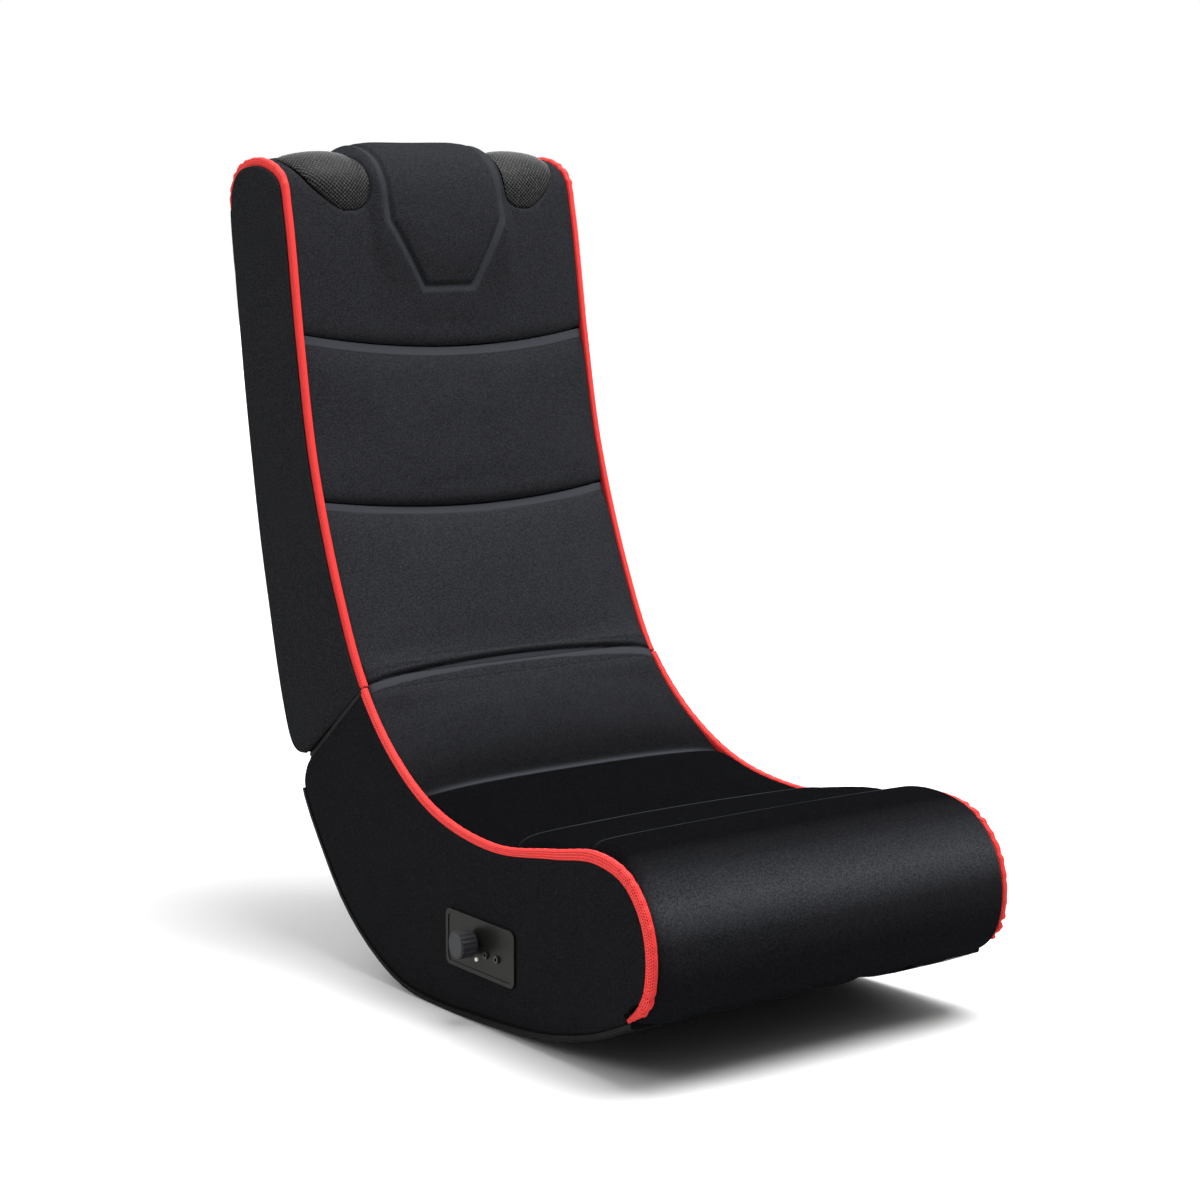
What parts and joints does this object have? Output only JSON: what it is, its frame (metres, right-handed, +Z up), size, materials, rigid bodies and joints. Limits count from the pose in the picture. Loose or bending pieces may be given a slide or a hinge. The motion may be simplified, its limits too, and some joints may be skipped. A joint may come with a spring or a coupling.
{
  "type": "gaming rocker chair",
  "caption": "Folding floor rocker chair with a padded seat and back, curved rails, red edge piping, headrest speakers and a side control plate with a volume knob.",
  "frame": {"origin": "on the floor, under the middle of the chair's box", "axes": "+Z up, the sitter faces -Y, +X is the sitter's left"},
  "size_m": [0.4273, 0.7233, 0.8021],
  "materials": {
    "pad_knit": "fine charcoal knit",
    "side_knit": "matt black knit",
    "piping_mesh": "red spacer mesh",
    "lining_cloth": "black lining cloth",
    "foam": "open foam",
    "speaker_mesh_cloth": "open black mesh",
    "plywood": "raw plywood",
    "hardboard": "brown hardboard",
    "greyboard": "grey board",
    "rail_plastic": "satin black",
    "cup_plastic": "satin black",
    "cone_paper": "black paper",
    "plate_plastic": "gloss olive black",
    "knob_rubber": "soft-touch black",
    "steel": "zinc plated",
    "light_lens": "clear white"
  },
  "bodies": {
    "seat": {"seat_side_board_right": "plywood", "seat_side_board_left": "plywood", "seat_rear_rail": "plywood", "seat_middle_rail": "plywood", "seat_front_board": "plywood", "seat_side_cover_right": "side_knit", "seat_side_cover_left": "side_knit", "seat_deck": "hardboard", "seat_base_lining": "lining_cloth", "seat_seam_facing": "lining_cloth", "rocker_rail_right": "rail_plastic", "rocker_rail_left": "rail_plastic", "amplifier_box": "rail_plastic", "seat_piping_right": "piping_mesh", "seat_piping_left": "piping_mesh", "seat_pad_rear": "pad_knit", "seat_pad_middle": "pad_knit", "seat_pad_front": "pad_knit", "front_roll": "pad_knit", "front_roll_core": "foam", "input_jack": "cup_plastic", "output_jack": "cup_plastic", "seat_hinge_leaf_right": "steel", "seat_hinge_leaf_left": "steel", "hinge_pin_right": "steel", "hinge_pin_left": "steel", "volume_bush": "steel", "control_plate": "plate_plastic", "power_light": "light_lens"},
    "back": {"back_side_board_right": "plywood", "back_side_board_left": "plywood", "back_lower_rail": "plywood", "back_middle_rail": "plywood", "back_upper_rail": "plywood", "back_side_cover_right": "side_knit", "back_side_cover_left": "side_knit", "back_rear_cover": "side_knit", "back_deck": "greyboard", "back_seam_facing": "lining_cloth", "back_piping_right": "piping_mesh", "back_piping_left": "piping_mesh", "back_pad_lower": "pad_knit", "back_pad_upper": "pad_knit", "headrest_pad": "pad_knit", "speaker_cup_right": "cup_plastic", "speaker_cup_left": "cup_plastic", "speaker_cone_right": "cone_paper", "speaker_cone_left": "cone_paper", "speaker_magnet_right": "steel", "speaker_magnet_left": "steel", "speaker_mesh_right": "speaker_mesh_cloth", "speaker_mesh_left": "speaker_mesh_cloth", "back_hinge_leaf_right": "steel", "back_hinge_leaf_left": "steel"},
    "volume": {"volume_shaft": "steel", "volume_knob": "knob_rubber"}
  },
  "joints": [
    {"name": "back_fold", "type": "hinge", "parent": "seat", "child": "back", "pos_m": [0, 0.11906, 0.28559], "axis": [1, 0, 0], "range_deg": [0, 115]},
    {"name": "volume_turn", "type": "hinge", "parent": "seat", "child": "volume", "pos_m": [-0.20096, -0.08002, 0.078], "axis": [-0.9981, 0.0614, 0], "range_deg": [0, 280]}
  ]
}
